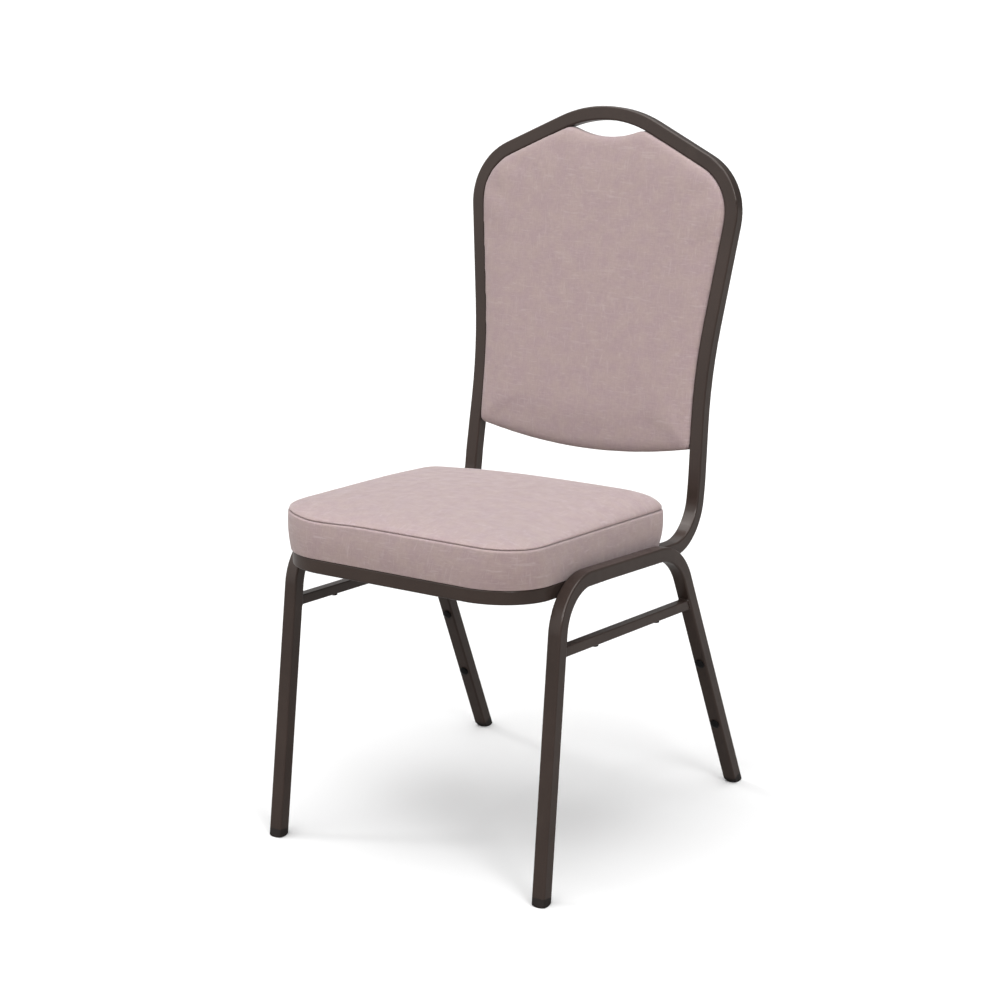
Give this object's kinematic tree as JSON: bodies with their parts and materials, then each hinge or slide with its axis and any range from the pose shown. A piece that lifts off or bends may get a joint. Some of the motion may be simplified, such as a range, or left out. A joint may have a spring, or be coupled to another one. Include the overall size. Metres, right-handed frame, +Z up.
{
  "type": "stacking chair",
  "caption": "Stacking banquet chair with a crown-shaped back, a square-tube steel frame, an upholstered pillow-top seat and an upholstered back pad.",
  "frame": {"origin": "on the floor, at the centre of the bounding box's underside", "axes": "+Z up, the chair faces -Y, +X is toward the viewer's right when the chair is seen from the front"},
  "size_m": [0.446, 0.5578, 0.948],
  "materials": {
    "frame_paint": "satin powder coat, dark bronze brown",
    "seat_fabric": "heathered flat weave, dusty taupe pink",
    "back_fabric": "heathered flat weave, dusty taupe pink",
    "bumper_rubber": "black, half gloss",
    "glide_plastic": "dark brown moulded plastic",
    "plywood": "raw plywood",
    "foam": "cut polyurethane foam",
    "dust_felt": "black non-woven cloth",
    "zinc": "zinc plated"
  },
  "bodies": {
    "root": {"back_frame_tube": "frame_paint", "seat_frame_tube": "frame_paint", "left_leg_frame": "frame_paint", "right_leg_frame": "frame_paint", "left_stretcher": "frame_paint", "right_stretcher": "frame_paint", "left_weld_spacers": "frame_paint", "right_weld_spacers": "frame_paint", "rear_cross_rail": "frame_paint", "seat_mount_tabs": "frame_paint", "back_mount_tabs": "frame_paint", "front_left_glide": "glide_plastic", "front_right_glide": "glide_plastic", "rear_left_glide": "glide_plastic", "rear_right_glide": "glide_plastic", "rear_leg_bumpers": "bumper_rubber", "stretcher_bumpers": "bumper_rubber", "seat_board": "plywood", "seat_foam": "foam", "seat_top_cover": "seat_fabric", "seat_side_band": "seat_fabric", "seat_dust_cover": "dust_felt", "seat_screws": "zinc", "seat_washers": "zinc", "seat_tee_nuts": "zinc", "back_board": "plywood", "back_front_foam": "foam", "back_rear_foam": "foam", "back_front_cover": "back_fabric", "back_rear_cover": "back_fabric", "back_screws": "zinc"}
  },
  "joints": []
}
